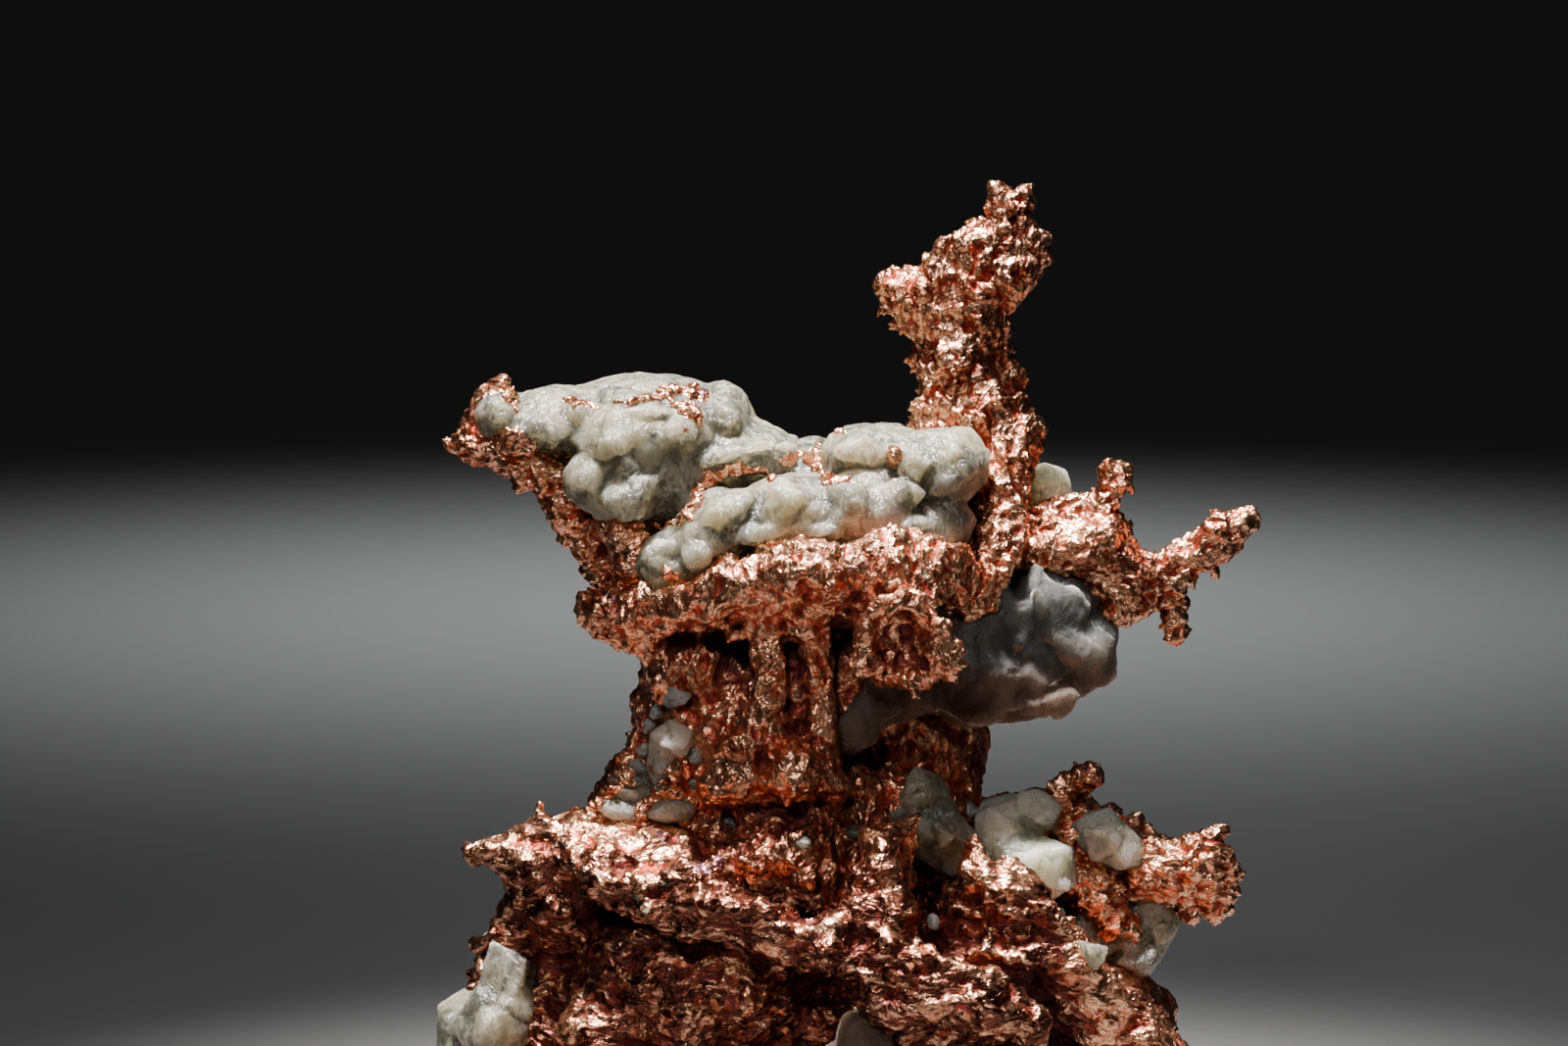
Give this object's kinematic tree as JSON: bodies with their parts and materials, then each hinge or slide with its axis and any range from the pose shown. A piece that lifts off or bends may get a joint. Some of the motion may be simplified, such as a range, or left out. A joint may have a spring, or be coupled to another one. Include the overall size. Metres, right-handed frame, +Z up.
{
  "type": "native copper nugget",
  "caption": "Native copper nugget with a broad foot, trunk, spire and reaching arms, grown through with lumps of greenish white prehnite.",
  "frame": {"origin": "on the flat underside of the foot, under the middle of the outline's box", "axes": "+Z up along the spire, +X towards the hooked arm, +Y away from the ledge and the cave, towards the back"},
  "size_m": [0.0863, 0.0605, 0.1102],
  "materials": {
    "native_copper": "hackly bare copper with red oxide in the hollows",
    "prehnite": "waxy, translucent, greenish white"
  },
  "bodies": {
    "root": {"copper_foot": "native_copper", "copper_trunk": "native_copper", "copper_left_arm": "native_copper", "copper_spire": "native_copper", "copper_right_arm": "native_copper", "copper_right_shoulder": "native_copper", "prehnite_left_crown": "prehnite", "prehnite_top_slab": "prehnite", "prehnite_overhang": "prehnite", "prehnite_pebble": "prehnite", "prehnite_trunk_crystal": "prehnite", "prehnite_seam": "prehnite", "prehnite_shoulder": "prehnite", "prehnite_shoulder_crystal": "prehnite", "prehnite_hollow": "prehnite", "prehnite_cave": "prehnite", "prehnite_under_shoulder": "prehnite", "prehnite_lower_left": "prehnite", "prehnite_back_foot": "prehnite", "prehnite_back_trunk": "prehnite"}
  },
  "joints": []
}
